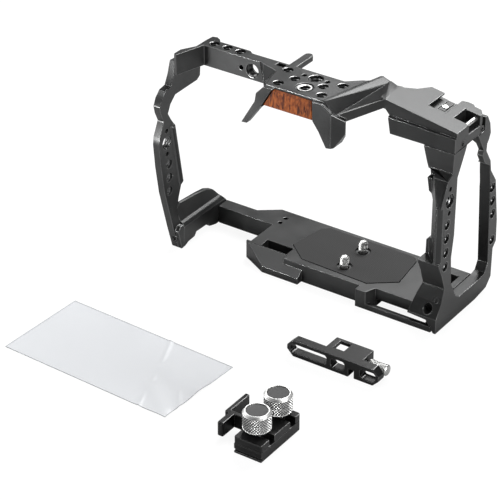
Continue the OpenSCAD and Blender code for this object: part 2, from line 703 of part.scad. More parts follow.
module top_plate() {
    bent_end = [[-arm_seat_x, bent_end_y_shares[0] * cage_d], [-arm_seat_x, bent_end_y_shares[1] * cage_d]];
    finger = plan(finger_shares);
    hollow = plan(hollow_shares);
    window = plan(strap_window_shares);
    finger_r = (finger[1].x - finger[0].x) / 2;
    strap_x = strap_bar_share.x * right_x;
    strap_z = cage_h - strap_bar_share.y * (platform_drop + skirt_h);
    slot_z = cage_h - strap_slot_shares.y * (platform_drop + skirt_h);
    seat = [-arm_seat_x, bent_end[0].y - cut, bar_z];
    bar_quarter = [bar_quarter_share.x * right_x, bar_quarter_share.y * cage_d];
    left_claw_ys = left_claw_y_shares * cage_d;
    hollow_z = cage_h - hollow_depth_share * bar_h;
    notch_z = cage_h - notch_bottom_share * bar_h;
    tab_top = skirt_z + tab_h + gap;
    color(charcoal) difference() {
        union() {
            slab_z(concat(plan(bar_plan_shares), bent_end), bar_z, cage_h);
            block(seat, [-right_x + cut, seat_back_share * cage_d, cage_h - seat_drop]);
            block([finger[0].x, finger[0].y, cage_h - finger_h], [finger[1].x, finger[1].y, cage_h]);
            rod_z(finger[0].x + finger_r, finger[1].y, cage_h - finger_h, cage_h, finger_r);
            slab_y(hung(left_claw_shares, right_x, claw_h), left_claw_ys[0], left_claw_ys[1]);
            intersection() {
                slab_y(hung(right_claw_shares, right_x, claw_h), -cage_d, 0);
                slab_z(plan(right_claw_plan_shares), 0, cage_h);
            }
            ridge(ridge_shares);
            ridge(flank_shares);
            platform();
        }
        block([hollow[0].x, hollow[0].y, hollow_z], [hollow[1].x, hollow[1].y, cage_h + cut]);
        hull() {
            slab_z(plan(notch_shares), cage_h, cage_h + cut);
            slab_z(plan(notch_foot_shares), notch_z, notch_z + running);
        }
        slab_y(hung(wood_shares, right_x, bar_h), -cage_d, block_front_share * cage_d + wood_t - wood_proud);
        for (p = plan(top_quarter_shares)) rod_z(p.x, p.y, 0, cage_h + cut, quarter_d / 2);
        for (i = [0:2]) rod_z(bar_quarter.x + i * hole_pitch, bar_quarter.y, 0, cage_h + cut, quarter_d / 2);
        translate([top_three_eighths_share.x * right_x, top_three_eighths_share.y * cage_d, 0]) {
            rod_z(0, 0, 0, cage_h + cut, three_eighths_d / 2);
            for (s = [-1, 1]) rod_z(s * locating_pitch, 0, cage_h - insert_h, cage_h + cut, locating_d / 2);
        }
        translate([insert_share.x * right_x, insert_share.y * cage_d, 0]) {
            rod_z(0, 0, cage_h - insert_h - insert_sink, cage_h + cut, insert_d / 2);
            rod_z(0, 0, cage_h - insert_rim, cage_h + cut, insert_d / 2 + insert_rim);
        }
        translate([front_thread_share.x * right_x, 0, cage_h - front_thread_share.y * bar_h]) {
            rod_y(0, -bar_h * 2, cut, 0, three_eighths_d / 2);
            rod_y(-locating_pitch, -bar_h * 2, cut, 0, locating_d / 2);
        }
        shoe_cut();
        block([window[0].x, window[0].y, 0], [window[1].x, window[1].y, cage_h]);
        block([strap_slot_shares.x * right_x, window[0].y, slot_z], [right_x + cut, window[1].y, cage_h]);
        rod_y(strap_x, strap_bar_y_shares[0] * cage_d - gap, cage_d, strap_z, strap_bar_d / 2 + running);
        for (t = tab_shares)
            block([t.x * right_x - gap, t.y * cage_d - gap, 0],
                [t.x * right_x + tab_w + gap, t.z * cage_d + gap, tab_top]);
        end_screw_places() socket_hole();
        arm_screw_places() socket_hole();
    }
}

module wood_insert() {
    face = block_front_share * cage_d;
    color(wood) slab_y(hung(wood_shares, right_x, bar_h), face - wood_proud, face + wood_t - wood_proud);
}

module thread_insert() {
    top = cage_h - insert_sink;
    color(steel) translate([insert_share.x * right_x, insert_share.y * cage_d, 0]) difference() {
        rod_z(0, 0, top - insert_h, top, insert_d / 2);
        rod_z(0, 0, 0, top + cut, quarter_d / 2);
    }
}

module shoe_spring() {
    top = -shoe_floor - running;
    half_w = spring_w / 2 - gap;
    y0 = spring_front_share * cage_d + gap;
    color(steel) on_platform() {
        block([shoe_x() - half_w, y0, top - spring_t], [shoe_x() + half_w, shoe_back_share * cage_d, top]);
        rod_z(shoe_x(), y0 + button_d, top - spring_t, top + button_h, button_d / 2 - gap);
    }
}

module strap_bar() {
    ys = strap_bar_y_shares * cage_d;
    z = cage_h - strap_bar_share.y * (platform_drop + skirt_h);
    color(steel) rod_y(strap_bar_share.x * right_x, ys[0], ys[1], z, strap_bar_d / 2);
}

module camera_screw(s) {
    x = camera_screw_share.x * right_x;
    y = camera_screw_share.y * cage_d + s * camera_screw_pitch;
    slot_r = screw_slot_w / 2;
    color(steel) difference() {
        union() {
            rod_z(x, y, gap, gap + camera_head_h, camera_head_d / 2);
            rod_z(x, y, gap, plate_h - screw_neck_h, camera_screw_d / 2);
            rod_z(x, y, gap, plate_h + camera_screw_rise, screw_neck_share * camera_screw_d / 2);
            rod_z(x, y, plate_h, plate_h + camera_screw_rise, camera_screw_d / 2);
        }
        block([x - camera_head_d, y - slot_r, -cut], [x + camera_head_d, y + slot_r, gap + screw_slot_w]);
    }
}

module camera_screw_front() {
    camera_screw(-0.5);
}

module camera_screw_rear() {
    camera_screw(0.5);
}

module foot_screws() {
    foot_screw_place() socket_screw();
    arm_foot_screw_places() socket_screw();
}

module left_arm_screws() {
    arm_screw_places() socket_screw();
}

module top_end_screws() {
    end_screw_places() socket_screw();
}

module sill_screws() {
    sill_screw_places() socket_screw();
}

// Cable clamp, in its own corner's frame
module at_clamp() {
    translate([clamp_place.x, clamp_place.y, 0]) children();
}

knob_x = knob_x_share * block_w;
front_knob_y = front_knob_y_share * block_l;
knob_ys = [front_knob_y, front_knob_y + knob_pitch];
layer_z = block_h - clamp_layer_h;
washer_z = block_h + knob_travel + gap;
knob_z = washer_z + washer_h;

module clamp_block() {
    color(black) at_clamp() difference() {
        block([0, 0, 0], [block_w, block_l, layer_z]);
        block([-cut, -cut, block_groove], [block_w + cut, block_groove, 2 * block_groove]);
        for (y = knob_ys) rod_z(knob_x, y, layer_z - stud_sink, layer_z + cut, stud_d / 2);
        rod_z(block_w / 2, block_l / 2, -cut, layer_z - block_groove, quarter_d / 2);
    }
}

module knob_studs() {
    top = knob_z + stud_share * knob_h;
    color(steel) at_clamp() for (y = knob_ys) rod_z(knob_x, y, layer_z - stud_sink, top, stud_d / 2);
}

module plug_holder() {
    slot_r = stud_d / 2 + gap;
    web_y = web_share * block_l;
    rear_x = -holder_reach - front_plate_t;
    plate_y = front_plate_share * block_l;
    rear_y = rear_plate_share * block_l;
    color(black) at_clamp() difference() {
        union() {
            block([0, 0, layer_z + running], [block_w, block_l, block_h]);
            block([rear_x - holder_t, web_y, arm_z], [-gap, web_y + holder_t, arm_z + holder_h]);
            block([-gap - cut, web_y, layer_z + running], [cut, web_y + holder_t, block_h]);
            block([rear_x, plate_y, arm_z], [-holder_reach, web_y + cut, arm_z + holder_h]);
            block([rear_x - holder_t, web_y + cut, arm_z], [rear_x, rear_y, arm_z + holder_h]);
        }
        for (y = knob_ys) {
            rod_z(knob_x, y, 0, block_h + cut, slot_r);
            block([knob_x, y - slot_r, 0], [block_w + cut, y + slot_r, block_h + cut]);
        }
    }
}

module washer(i) {
    color(black) at_clamp() difference() {
        rod_z(knob_x, knob_ys[i], washer_z, knob_z, washer_d / 2);
        rod_z(knob_x, knob_ys[i], 0, knob_z + cut, stud_d / 2 + running);
    }
}

module front_washer() {
    washer(0);
}

module rear_washer() {
    washer(1);
}

module knob(i) {
    r = knob_d / 2;
    rim = rim_share * knob_d;
    bore_r = stud_d / 2 + running;
    bore_h = stud_share * knob_h + gap;
    seat_h = knob_h - cap_t;
    hollow_r = knob_hollow_share * r;
    color(steel) at_clamp() translate([knob_x, knob_ys[i], knob_z]) rotate_extrude($fn = 64)
        polygon([
            [bore_r, running], [r - rim, running], [r, rim], [r, knob_h - rim], [r - rim, knob_h],
            [cap_share * r, knob_h], [cap_share * r, seat_h], [hollow_r, seat_h], [hollow_r, bore_h],
            [bore_r, bore_h]
        ]);
}

module knob_cap(i) {
    foot = knob_z + knob_h - cap_t;
    color(cap_grey) at_clamp()
        rod_z(knob_x, knob_ys[i], foot, foot + cap_t / 2, cap_share * knob_d / 2 - running);
}

module knob_front() {
    knob(0);
}

module knob_rear() {
    knob(1);
}

module knob_front_cap() {
    knob_cap(0);
}

module knob_rear_cap() {
    knob_cap(1);
}

// Long cable bracket, in its own corner's frame
module at_bracket() {
    translate([bracket_place.x, bracket_place.y, 0]) children();
}

// A bar's outline on X and Z with its corners cut
function cut_bar(x0, x1, z0, z1, c) = [
    [x0, z0 + c], [x0 + c, z0], [x1 - c, z0], [x1, z0 + c],
    [x1, z1 - c], [x1 - c, z1], [x0 + c, z1], [x0, z1 - c]
];

thumb_y = bracket_d + thumb_share.x * bracket_shelf_d;
thumb_z = thumb_share.y * bracket_h;

module bracket_frame() {
    inside_z = [bracket_t, bracket_h - bracket_t];
    shelf = bracket_shelf_shares * bracket_l;
    opening = shelf_window_shares * bracket_l;
    slit = bracket_slit_shares * bracket_l;
    shelf_back = bracket_d + bracket_shelf_d;
    opening_low = [opening[0], bracket_d + bracket_t / 2, inside_z[1] - cut];
    color(black) at_bracket() difference() {
        union() {
            difference() {
                slab_y(cut_bar(0, bracket_l, 0, bracket_h, bracket_corner), 0, bracket_d);
                for (w = bracket_window_shares * bracket_l)
                    slab_y(cut_bar(w.x, w.y, inside_z[0], inside_z[1], bracket_t / 2), -cut, bracket_d + cut);
            }
            block([shelf[0], 0, inside_z[1]], [shelf[1], shelf_back, bracket_h]);
            block([shelf[1] - bracket_corner, 0, bracket_t / 2], [shelf[1], shelf_back, bracket_h]);
        }
        block(opening_low, [opening[1], shelf_back - bracket_t, bracket_h + cut]);
        block([slit[0], -cut, -cut], [slit[1], bracket_d + cut, bracket_h / 2]);
        rod_x(0, bracket_l + cut, thumb_y, thumb_z, thumb_stud_d / 2 + running);
    }
}

module thumb_screw() {
    x0 = bracket_shelf_shares[1] * bracket_l + gap + thumb_travel;
    color(steel) at_bracket() {
        rod_x(x0, x0 + thumb_l, thumb_y, thumb_z, thumb_d / 2);
        rod_x(x0 - thumb_stud_l, x0, thumb_y, thumb_z, thumb_stud_d / 2);
    }
}

module thumb_pad() {
    x1 = bracket_shelf_shares[1] * bracket_l + thumb_travel + gap - thumb_stud_l - running;
    color(black) at_bracket() rod_x(x1 - pad_h, x1, thumb_y, thumb_z, pad_d / 2);
}

module screen_film() {
    color(clear) translate([film_place.x, film_place.y, 0]) rotate([0, 0, film_turn])
        block([-film_l / 2, -film_w / 2, 0], [film_l / 2, film_w / 2, film_t]);
}

base_plate();
base_pad();
grip_foot();
left_arm();
top_plate();
side_frame();
wood_insert();
thread_insert();
shoe_spring();
strap_bar();
camera_screw_front();
camera_screw_rear();
foot_screws();
left_arm_screws();
top_end_screws();
sill_screws();
clamp_block();
plug_holder();
knob_studs();
front_washer();
rear_washer();
knob_front();
knob_rear();
knob_front_cap();
knob_rear_cap();
bracket_frame();
thumb_screw();
thumb_pad();
screen_film();
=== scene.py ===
# A full metal cage for a cinema camera, with a cable clamp, a cable bracket and a clear screen film
# laid out before it. All is in metres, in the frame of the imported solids: +X to the cage's right,
# +Y to the back, +Z up.
import json
import math

import bmesh
import bpy
from mathutils import Matrix, Vector
from mathutils.bvhtree import BVHTree

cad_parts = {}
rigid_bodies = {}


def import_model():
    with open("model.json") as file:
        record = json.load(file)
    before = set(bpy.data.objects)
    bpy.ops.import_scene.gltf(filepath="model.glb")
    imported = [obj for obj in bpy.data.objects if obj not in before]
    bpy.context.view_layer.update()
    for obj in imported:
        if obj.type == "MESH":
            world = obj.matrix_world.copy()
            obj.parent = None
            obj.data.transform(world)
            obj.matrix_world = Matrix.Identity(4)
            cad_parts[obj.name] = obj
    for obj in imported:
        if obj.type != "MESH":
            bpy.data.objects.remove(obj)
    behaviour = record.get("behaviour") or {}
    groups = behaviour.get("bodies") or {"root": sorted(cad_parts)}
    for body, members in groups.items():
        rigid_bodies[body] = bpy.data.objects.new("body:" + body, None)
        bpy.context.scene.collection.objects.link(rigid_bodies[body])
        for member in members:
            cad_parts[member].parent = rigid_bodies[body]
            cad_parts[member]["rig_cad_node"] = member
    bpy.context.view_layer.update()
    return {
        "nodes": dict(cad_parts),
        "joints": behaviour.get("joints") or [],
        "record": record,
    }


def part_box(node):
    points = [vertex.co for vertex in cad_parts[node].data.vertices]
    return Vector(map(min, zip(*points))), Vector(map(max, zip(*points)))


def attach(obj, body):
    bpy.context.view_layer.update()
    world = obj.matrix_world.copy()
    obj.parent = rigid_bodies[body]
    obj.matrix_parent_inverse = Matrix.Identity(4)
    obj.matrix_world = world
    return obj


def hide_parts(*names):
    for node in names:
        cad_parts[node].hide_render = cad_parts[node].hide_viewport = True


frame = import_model()
MM = 0.001

# The studio: a long lens above the object's right front corner, a plain pale floor and soft lamps.
# Three of them hang where one face mirrors them to the lens: the rear one for the sloping platform,
# one for the bottom plate's lip and one for the grip foot. A snoot lights the bar and the wood.
bpy.context.scene.view_settings.view_transform = "Standard"
CAMERA_PLACE = (0.7104, -1.1331, 0.8195)
CAMERA_TILT = math.radians(59)
CAMERA_TURN = math.radians(34.4)
SENSOR_MM = 36
LENS_MM = 165.6
bpy.ops.object.camera_add(location=CAMERA_PLACE)
camera = bpy.context.object
camera.name = "long_lens"
camera.rotation_euler = (CAMERA_TILT, 0, CAMERA_TURN)
camera.data.sensor_width = SENSOR_MM
camera.data.lens = LENS_MM
bpy.context.scene.camera = camera


def lamp_at(kind, name, place, target, watts):
    """A lamp of a kind at a place, turned to shine at a target."""
    bpy.ops.object.light_add(type=kind, location=place)
    lamp = bpy.context.object
    lamp.name = name
    lamp.data.energy = watts
    lamp.rotation_euler = (Vector(target) - Vector(place)).to_track_quat("-Z", "Y").to_euler()
    return lamp


def softbox(name, place, target, width, watts):
    """A square lamp that shines at a target."""
    lamp_at("AREA", name, place, target, watts).data.size = width


STUDIO_MIDDLE = (0, -0.05, 0.08)
LIP = (-0.035, -0.025, 0.01)
GRIP_FOOT = (-0.1, -0.01, 0.02)
WOOD_SIDE = (-0.08, -0.03, 0.09)
softbox("rear_softbox", (-0.3, 1.15, 1.5), STUDIO_MIDDLE, 0.8, 34)
softbox("left_softbox", (-1.6, -0.3, 0.9), STUDIO_MIDDLE, 0.8, 16)
softbox("right_softbox", (1.5, -0.3, 0.5), STUDIO_MIDDLE, 0.6, 22)
softbox("top_softbox", (0.3, -0.3, 1.7), STUDIO_MIDDLE, 0.8, 3)
softbox("lip_softbox", (-0.62, -0.55, 0.95), LIP, 0.26, 2.2)
softbox("foot_softbox", (0.3, 0.85, 0.85), GRIP_FOOT, 0.26, 5)
snoot = lamp_at("SPOT", "grip_side_snoot", (-0.5, -0.9, 0.04), WOOD_SIDE, 60)
snoot.data.spot_size = math.radians(14)
snoot.data.spot_blend = 0.8
snoot.data.shadow_soft_size = 0.08

world = bpy.data.worlds.new("pale_room")
bpy.context.scene.world = world
world.use_nodes = True
room = world.node_tree.nodes
links = world.node_tree.links
plain_room = room["Background"]
plain_room.inputs["Color"].default_value = (0.97, 0.98, 1.0, 1)
plain_room.inputs["Strength"].default_value = 0.1
white_room = room.new("ShaderNodeBackground")
white_room.inputs["Strength"].default_value = 1
rays = room.new("ShaderNodeLightPath")
choice = room.new("ShaderNodeMixShader")
links.new(rays.outputs["Is Camera Ray"], choice.inputs[0])
links.new(plain_room.outputs[0], choice.inputs[1])
links.new(white_room.outputs[0], choice.inputs[2])
links.new(choice.outputs[0], room["World Output"].inputs["Surface"])

FLOOR_WIDTH = 8
FLOOR_SHADOW_SHARE = 0.22
bpy.ops.mesh.primitive_plane_add(size=FLOOR_WIDTH)
floor = bpy.context.object
floor.name = "floor"
paint = bpy.data.materials.new("pale_floor")
paint.use_nodes = True
nodes = paint.node_tree.nodes
links = paint.node_tree.links
matt = nodes["Principled BSDF"]
matt.inputs["Base Color"].default_value = (0.5, 0.5, 0.5, 1)
matt.inputs["Roughness"].default_value = 0.9
white = nodes.new("ShaderNodeEmission")
white.inputs["Strength"].default_value = 1.15
rays = nodes.new("ShaderNodeLightPath")
seen = nodes.new("ShaderNodeMath")
seen.operation = "MAXIMUM"
links.new(rays.outputs["Is Camera Ray"], seen.inputs[0])
links.new(rays.outputs["Is Transmission Ray"], seen.inputs[1])
share = nodes.new("ShaderNodeMath")
share.operation = "MULTIPLY"
share.inputs[1].default_value = 1 - FLOOR_SHADOW_SHARE
links.new(seen.outputs[0], share.inputs[0])
both = nodes.new("ShaderNodeMixShader")
links.new(share.outputs[0], both.inputs[0])
links.new(matt.outputs[0], both.inputs[1])
links.new(white.outputs[0], both.inputs[2])
links.new(both.outputs[0], nodes["Material Output"].inputs["Surface"])
floor.data.materials.append(paint)


# The cage's five machined pieces: aluminium, milled from solid, bead-blasted and anodised a dark
# charcoal. The top of the grip foot is rounded wide, and the top plate's ridge has soft bends. The
# other edges are only broken. There the anodising is smoother and painted lighter, a painted
# highlight.
def only(piece):
    """Makes a piece the one that the next operators act on."""
    bpy.ops.object.select_all(action="DESELECT")
    piece.select_set(True)
    bpy.context.view_layer.objects.active = piece


def shader_group(name, inputs, outputs):
    """An empty shader node group with these named inputs and outputs, and its two end nodes."""
    tree = bpy.data.node_groups.new(name, "ShaderNodeTree")
    for label, kind, value in inputs:
        made = tree.interface.new_socket(name=label, in_out="INPUT", socket_type=kind)
        made.default_value = value
    for label, kind in outputs:
        tree.interface.new_socket(name=label, in_out="OUTPUT", socket_type=kind)
    return tree, tree.nodes.new("NodeGroupInput"), tree.nodes.new("NodeGroupOutput")


def blasting_group():
    """Bead-blasted grain: tiny even pits, and slow clouds where the finish is a little lighter."""
    tree, start, end = shader_group(
        "bead_blasting",
        [("Pits", "NodeSocketFloat", 2200.0), ("Clouds", "NodeSocketFloat", 45.0)],
        [("Height", "NodeSocketFloat"), ("Tone", "NodeSocketFloat")],
    )
    place = tree.nodes.new("ShaderNodeTexCoord")
    for scale, detail, output in (("Pits", 2.0, "Height"), ("Clouds", 6.0, "Tone")):
        noise = tree.nodes.new("ShaderNodeTexNoise")
        noise.inputs["Detail"].default_value = detail
        tree.links.new(place.outputs["Object"], noise.inputs["Vector"])
        tree.links.new(start.outputs[scale], noise.inputs["Scale"])
        tree.links.new(noise.outputs["Fac"], end.inputs[output])
    return tree


blasting = blasting_group()


def blasted(name, dark, light, rough, metallic, depth):
    """A blasted metal whose tone wanders between two colours."""
    material = bpy.data.materials.new(name)
    material.use_nodes = True
    tree = material.node_tree
    surface = tree.nodes["Principled BSDF"]
    surface.inputs["Metallic"].default_value = metallic
    grain = tree.nodes.new("ShaderNodeGroup")
    grain.node_tree = blasting
    tones = tree.nodes.new("ShaderNodeValToRGB")
    tones.color_ramp.elements[0].position = 0.35
    tones.color_ramp.elements[1].position = 0.65
    tones.color_ramp.elements[0].color = (*dark, 1)
    tones.color_ramp.elements[1].color = (*light, 1)
    tree.links.new(grain.outputs["Tone"], tones.inputs["Fac"])
    tree.links.new(tones.outputs["Color"], surface.inputs["Base Color"])
    sheen = tree.nodes.new("ShaderNodeMapRange")
    sheen.inputs["From Min"].default_value = 0.3
    sheen.inputs["From Max"].default_value = 0.7
    sheen.inputs["To Min"].default_value = rough - 0.05
    sheen.inputs["To Max"].default_value = rough + 0.05
    tree.links.new(grain.outputs["Tone"], sheen.inputs["Value"])
    tree.links.new(sheen.outputs["Result"], surface.inputs["Roughness"])
    pits = tree.nodes.new("ShaderNodeBump")
    pits.inputs["Strength"].default_value = depth
    pits.inputs["Distance"].default_value = 0.02 * MM
    tree.links.new(grain.outputs["Height"], pits.inputs["Height"])
    tree.links.new(pits.outputs["Normal"], surface.inputs["Normal"])
    return material


charcoal = blasted(
    "charcoal_anodised", (0.032, 0.0325, 0.0325), (0.045, 0.0455, 0.0455), 0.38, 0.75, 0.5
)
# A lighter copy of the anodising for the broken edges: a painted highlight.
charcoal_painted_highlight = blasted(
    "charcoal_painted_edge_highlight", (0.08, 0.081, 0.081), (0.12, 0.121, 0.121), 0.28, 0.85, 0.2
)


def inside(point, zone):
    """True where a point lies in a box given by its two corners in millimetres."""
    return all(low * MM <= value <= high * MM for value, low, high in zip(point, *zone))


def pattern_offsets(mount):
    """The places of a bolt pattern's two holes about its middle."""
    axis = [abs(round(v)) for v in mount["axis"]]
    across = [i for i in range(3) if not axis[i]]
    steps = [mount["dims"].get("spacing_x_mm", 0) * MM, mount["dims"].get("spacing_y_mm", 0) * MM]
    offset = Vector((0, 0, 0))
    for i, step in zip(across, steps):
        offset[i] = step / 2
    return [offset, -offset]


DEEPEST_THREAD = 9 * MM
PATTERN_DEPTH = 8 * MM
ARM_DEPTH = 5 * MM
QUARTER_R = 3.175
tapped = []
for mount in frame["record"]["mounts"]:
    dims = mount["dims"]
    axis = Vector(mount["axis"])
    if mount["kind"] == "threaded_hole":
        mouth = Vector(mount["pos_m"]) + axis * dims["length_mm"] * MM / 2
        tapped.append((mouth, axis, dims["r_mm"], min(DEEPEST_THREAD, dims["length_mm"] * MM)))
    elif mount["kind"] == "bolt_pattern" and dims.get("hole_r_mm", 0) >= QUARTER_R:
        depth = ARM_DEPTH if mount["name"] == "arm_quarter_outer" else PATTERN_DEPTH
        for offset in pattern_offsets(mount):
            tapped.append((Vector(mount["pos_m"]) + offset, axis, dims["hole_r_mm"], depth))


BORE_SLACK = 0.1 * MM


def at_mouth(point, near):
    """True where a point lies round the mouth of a tapped hole, within a distance of its rim."""
    for mouth, axis, radius, depth in tapped:
        along = (point - mouth).dot(axis)
        out = (point - mouth - axis * along).length - radius * MM
        if abs(along) < near and -BORE_SLACK < out < near:
            return True
    return False


def held(piece, skin, reach):
    """Sets back on the skin each vertex that a bevel threw out farther than its reach."""
    for vertex in piece.data.vertices:
        spot, normal, face, distance = skin.find_nearest(vertex.co)
        if distance > reach:
            vertex.co = spot


SHARP = math.radians(26)
ALONGSIDE = 0.9
ROOM_SHARE = 0.35
HELD_SHARE = 0.5
ROUND_STEPS = 5


def middle_of(piece, ends):
    """The middle between two of a mesh's vertices, given by their numbers."""
    return (piece.data.vertices[ends[0]].co + piece.data.vertices[ends[1]].co) / 2


def weighted_bevel(piece, name, width, segments):
    """A bevel of the weighted edges, left to be set further and applied."""
    bevel = piece.modifiers.new(name, "BEVEL")
    bevel.width = width
    bevel.segments = segments
    bevel.limit_method = "WEIGHT"
    bevel.use_clamp_overlap = False
    return bevel


def rounded(piece, zones):
    """Rounds the sharp edges in each zone by its radius, or as far as their faces allow."""
    widest = max(radius for low, high, radius in zones) * MM
    mesh = bmesh.new()
    mesh.from_mesh(piece.data)
    weight = mesh.edges.layers.float.new("bevel_weight_edge")
    for edge in mesh.edges:
        if len(edge.link_faces) != 2 or edge.calc_face_angle(0) < SHARP:
            continue
        along = (edge.verts[1].co - edge.verts[0].co).normalized()
        room = [edge.calc_length()]
        for vertex in edge.verts:
            for other in vertex.link_edges:
                line = (other.verts[1].co - other.verts[0].co).normalized()
                if other is not edge and abs(line.dot(along)) < ALONGSIDE:
                    room.append(other.calc_length())
        middle = (edge.verts[0].co + edge.verts[1].co) / 2
        for low, high, radius in zones:
            if inside(middle, (low, high)):
                edge[weight] = min(radius * MM, ROOM_SHARE * min(room)) / widest
    skin = BVHTree.FromBMesh(mesh)
    mesh.to_mesh(piece.data)
    mesh.free()
    only(piece)
    bevel = weighted_bevel(piece, "rounded_edges", widest, ROUND_STEPS)
    bpy.ops.object.modifier_apply(modifier=bevel.name)
    held(piece, skin, HELD_SHARE * widest)


SAME_POINT = 0.002 * MM
SAME_FACE = math.radians(0.8)


def finished(node, body, materials):
    """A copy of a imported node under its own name, with its facets joined to whole faces."""
    only(frame["nodes"][node])
    bpy.ops.object.duplicate()
    piece = bpy.context.object
    piece.name = node + "_finished"
    del piece["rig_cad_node"]
    piece.data.materials.clear()
    for material in materials:
        piece.data.materials.append(material)
    bpy.ops.object.mode_set(mode="EDIT")
    bpy.ops.mesh.select_all(action="SELECT")
    bpy.ops.mesh.remove_doubles(threshold=SAME_POINT)
    bpy.ops.mesh.dissolve_limited(angle_limit=SAME_FACE)
    bpy.ops.object.mode_set(mode="OBJECT")
    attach(piece, body)
    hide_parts(node)
    return piece


COUNTERSINK = 0.6 * MM
NEAR_RIM = 0.4 * MM


def broken(piece, width, segments, soft):
    """Breaks a piece's sharp edges, wider at its tapped holes, and leaves the soft zones' own."""
    mesh = bmesh.new()
    mesh.from_mesh(piece.data)
    layers = mesh.edges.layers.float
    weight = layers.get("bevel_weight_edge") or layers.new("bevel_weight_edge")
    for edge in mesh.edges:
        middle = (edge.verts[0].co + edge.verts[1].co) / 2
        angle = edge.calc_face_angle(0)
        edge[weight] = 0
        if angle < SHARP or any(inside(middle, zone) and angle < most for zone, most in soft):
            continue
        edge[weight] = 1 if at_mouth(middle, NEAR_RIM) else width / COUNTERSINK
    skin = BVHTree.FromBMesh(mesh)
    mesh.to_mesh(piece.data)
    mesh.free()
    only(piece)
    bevel = weighted_bevel(piece, "broken_edges", COUNTERSINK, segments)
    # The bevel faces take the piece's second material. Where that is lighter than the first, it is
    # a painted highlight.
    bevel.material = 1
    bpy.ops.object.modifier_apply(modifier=bevel.name)
    held(piece, skin, HELD_SHARE * COUNTERSINK)


SMOOTH = math.radians(32)


def machined(node, body, face, edge, width, zones=(), soft=(), segments=2):
    """A finished copy of a node: edges rounded in zones, blended where soft, broken elsewhere."""
    # The edge material goes on the broken edges. Where it is lighter than the face, it is a painted
    # highlight.
    piece = finished(node, body, [face, edge])
    if zones:
        rounded(piece, zones)
    broken(piece, width, segments, soft)
    bpy.ops.object.shade_smooth_by_angle(angle=SMOOTH)
    for line in piece.data.edges:
        if any(inside(middle_of(piece, line.vertices), zone) for zone, most in soft):
            line.use_edge_sharp = False
    even = piece.modifiers.new("flat_faces", "WEIGHTED_NORMAL")
    even.keep_sharp = True
    bpy.ops.object.modifier_apply(modifier=even.name)
    return piece


GRIP_TOP = [((-120, -60, 16), (-80, 60, 60), 2.6)]
RIDGE = [(((22, -36, 128), (52, 14, 152)), math.radians(62))]
CONE_REACH = COUNTERSINK + 0.05 * MM
# A brighter metal for the broken rim round each tapped hole's mouth: a painted glint on the
# countersink.
countersink_glint = blasted("countersink_painted_glint", (0.13, 0.13, 0.13), (0.2, 0.2, 0.2), 0.22, 1.0, 0.05)
for node, width, zones, soft in (
    ("base_plate", 0.35, [], []), ("grip_foot", 0.35, GRIP_TOP, []), ("left_arm", 0.45, [], []),
    ("top_plate", 0.4, [], RIDGE), ("side_frame", 0.45, [], []),
):
    piece = machined(node, "cage", charcoal, charcoal_painted_highlight, width * MM, zones, soft)
    piece.data.materials.append(countersink_glint)
    for face in piece.data.polygons:
        if face.material_index == 1 and at_mouth(face.center, CONE_REACH):
            face.material_index = 2

# The tapped holes: each is cut into the aluminium, and its thread runs in from the mouth as turns
# in the lighter edge metal, a painted highlight. The record's mounts say where they are, how wide
# and how deep.
THREAD_SHARE = 0.14
THREE_EIGHTHS_R = 4.765
THREAD_PITCH = {QUARTER_R: 1.27 * MM, THREE_EIGHTHS_R: 1.5875 * MM}
THREAD_SMOOTH = math.radians(50)
TURN_STEPS = 28
HALF_RIDGE = 0.4
FIRST_TURN = 0.6


def wound(radius, crest, pitch, length):
    """A thread's ridge on a cylinder along Z, from a triangle wound down from the origin."""
    bpy.ops.mesh.primitive_circle_add(vertices=3, radius=0.5 * pitch)
    ridge = bpy.context.object
    corners = [(radius, -HALF_RIDGE * pitch), (radius, HALF_RIDGE * pitch), (crest, 0)]
    for vertex, (x, z) in zip(ridge.data.vertices, corners):
        vertex.co = (x, 0, z - FIRST_TURN * pitch)
    winding = ridge.modifiers.new("winding", "SCREW")
    winding.screw_offset = -pitch
    winding.iterations = max(1, int(length / pitch) - 1)
    winding.steps = TURN_STEPS
    winding.render_steps = TURN_STEPS
    winding.use_merge_vertices = True
    bpy.ops.object.modifier_apply(modifier=winding.name)
    bpy.ops.object.mode_set(mode="EDIT")
    bpy.ops.mesh.select_all(action="SELECT")
    bpy.ops.mesh.fill_holes(sides=3)
    bpy.ops.mesh.normals_make_consistent(inside=False)
    bpy.ops.object.mode_set(mode="OBJECT")
    return ridge


def joined(pieces, name):
    """Several meshes made one."""
    bpy.ops.object.select_all(action="DESELECT")
    for piece in pieces:
        piece.select_set(True)
    bpy.context.view_layer.objects.active = pieces[0]
    bpy.ops.object.join()
    bpy.context.object.name = name
    return bpy.context.object


ridges = []
for mouth, axis, radius, depth in tapped:
    crest = (1 - THREAD_SHARE) * radius * MM
    ridge = wound(radius * MM, crest, THREAD_PITCH[radius], depth - COUNTERSINK)
    turn = axis.to_track_quat("Z", "Y").to_matrix().to_4x4()
    ridge.data.transform(Matrix.Translation(mouth - axis * COUNTERSINK) @ turn)
    ridges.append(ridge)
threads = joined(ridges, "tapped_threads")
threads.data.materials.clear()
# The thread turns take the lighter edge metal: a painted highlight.
threads.data.materials.append(charcoal_painted_highlight)
bpy.ops.object.shade_smooth_by_angle(angle=THREAD_SMOOTH)
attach(threads, "cage")

# The small hardware: black oxide socket screws, the stainless thread insert, the strap bar, and the
# dark spring leaf in the cold shoe with its bright round button.
def place_of(node):
    """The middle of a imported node, and its low and high corners."""
    low, high = (Vector(corner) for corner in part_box(node))
    return (low + high) / 2, low, high


